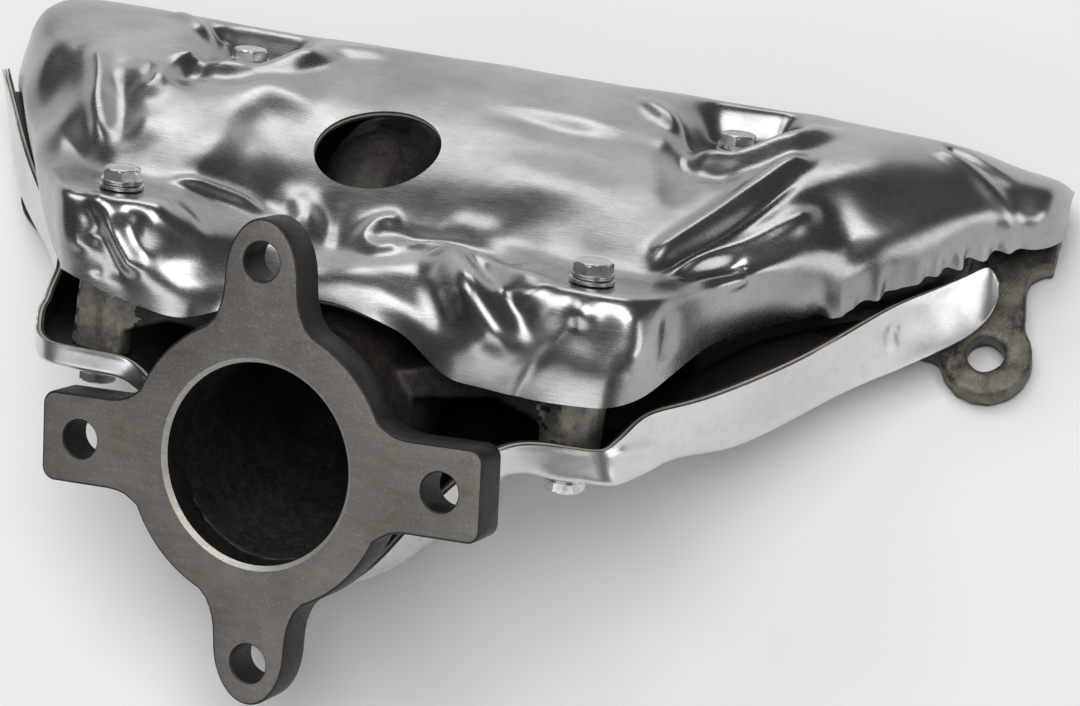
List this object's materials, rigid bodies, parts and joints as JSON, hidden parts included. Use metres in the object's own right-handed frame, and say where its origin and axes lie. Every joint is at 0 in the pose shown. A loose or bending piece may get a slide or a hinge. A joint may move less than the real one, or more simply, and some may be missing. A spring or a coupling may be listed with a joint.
{
  "type": "exhaust manifold",
  "caption": "Cast iron exhaust manifold for an inline engine, with a slanted outlet flange and screwed-on crimped sandwich heat shields above and below.",
  "frame": {"origin": "middle of the gasket face that bolts to the cylinder head, halfway between the two outermost ear holes in X and on the line through the port centres in Y", "axes": "+X along the row of ports, +Y towards the row of upper studs and away from the outlet, +Z out of the cylinder head"},
  "size_m": [0.3425, 0.2274, 0.1221],
  "materials": {
    "cast_iron": "rough sand cast",
    "upper_shield_steel": "satin sheet with pressing marks",
    "lower_shield_steel": "bright satin sheet",
    "insulation_fibre": "matt fibre",
    "plated_steel": "dull plated",
    "washer_steel": "dull plated"
  },
  "bodies": {
    "root": {"manifold_casting": "cast_iron", "upper_shield_outer": "upper_shield_steel", "upper_shield_mat": "insulation_fibre", "upper_shield_inner": "upper_shield_steel", "lower_shield_outer": "lower_shield_steel", "lower_shield_mat": "insulation_fibre", "lower_shield_inner": "lower_shield_steel", "upper_washer_front_left": "washer_steel", "upper_screw_front_left": "plated_steel", "upper_washer_front_right": "washer_steel", "upper_screw_front_right": "plated_steel", "upper_washer_rear_left": "washer_steel", "upper_screw_rear_left": "plated_steel", "upper_washer_rear_right": "washer_steel", "upper_screw_rear_right": "plated_steel", "lower_washer_front_left": "washer_steel", "lower_screw_front_left": "plated_steel", "lower_washer_front_right": "washer_steel", "lower_screw_front_right": "plated_steel", "lower_washer_rear_left": "washer_steel", "lower_screw_rear_left": "plated_steel", "lower_washer_rear_right": "washer_steel", "lower_screw_rear_right": "plated_steel"}
  },
  "joints": []
}
